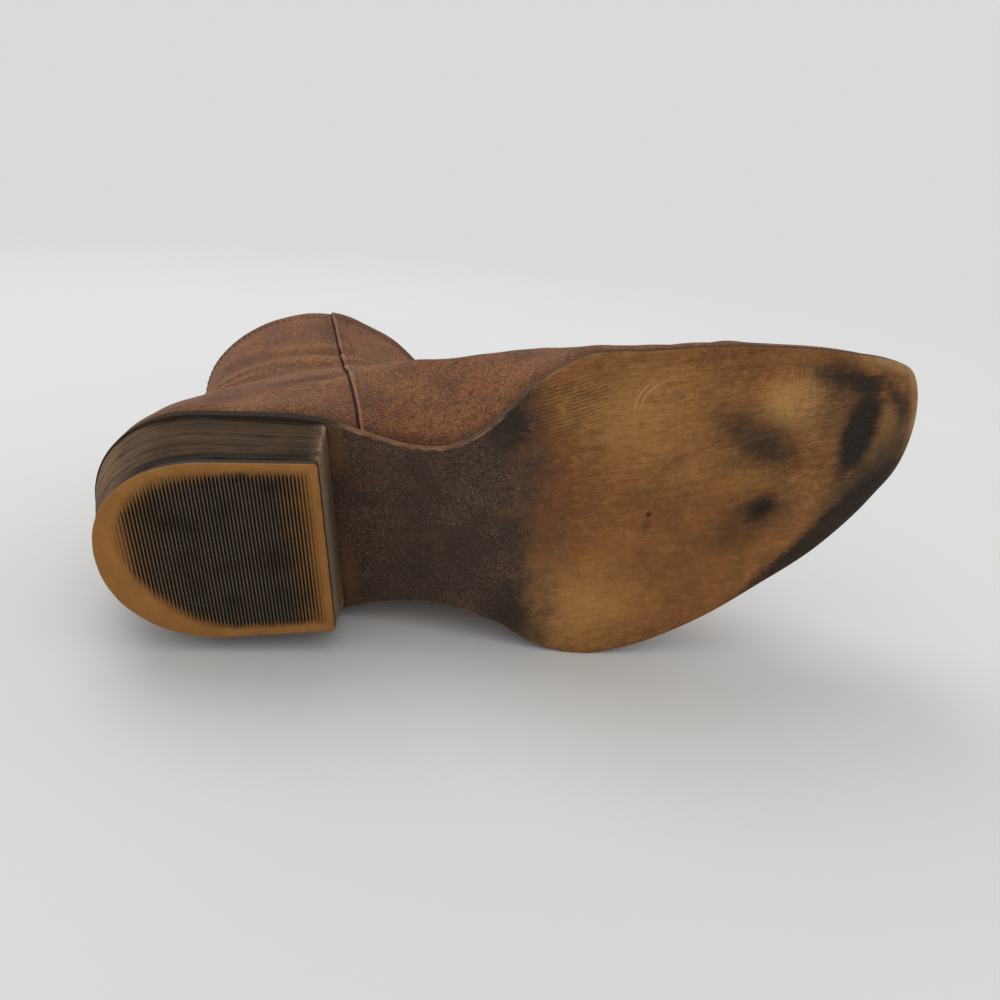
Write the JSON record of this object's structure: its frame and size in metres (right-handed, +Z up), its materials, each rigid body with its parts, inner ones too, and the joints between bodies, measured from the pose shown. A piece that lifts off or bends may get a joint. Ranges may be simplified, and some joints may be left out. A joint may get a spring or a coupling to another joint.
{
  "type": "western ankle boot",
  "caption": "Left western ankle boot lying on its outer side: hollow leather upper with side seams, snip toe, arched sole, stacked block heel and ribbed rubber lift.",
  "frame": {"origin": "middle of the bounding box, on the floor that the boot lies on", "axes": "+X towards the toe, +Y from the sole up the shaft, +Z up from the floor, towards the boot's inner side"},
  "size_m": [0.28, 0.1898, 0.113],
  "materials": {
    "upper_leather": "distressed reddish-brown leather, fine mottled grain, low sheen",
    "sole_leather": "worn brown sole, brushed along its length, dark in the waist",
    "heel_leather": "dark stacked leather with fine layer lines",
    "lift_rubber": "tan rubber with fine dirty ribs and a smooth worn border",
    "insole_leather": "plain tan sock lining"
  },
  "bodies": {
    "root": {"upper": "upper_leather", "outsole": "sole_leather", "heel_stack": "heel_leather", "top_lift": "lift_rubber", "insole": "insole_leather"}
  },
  "joints": []
}
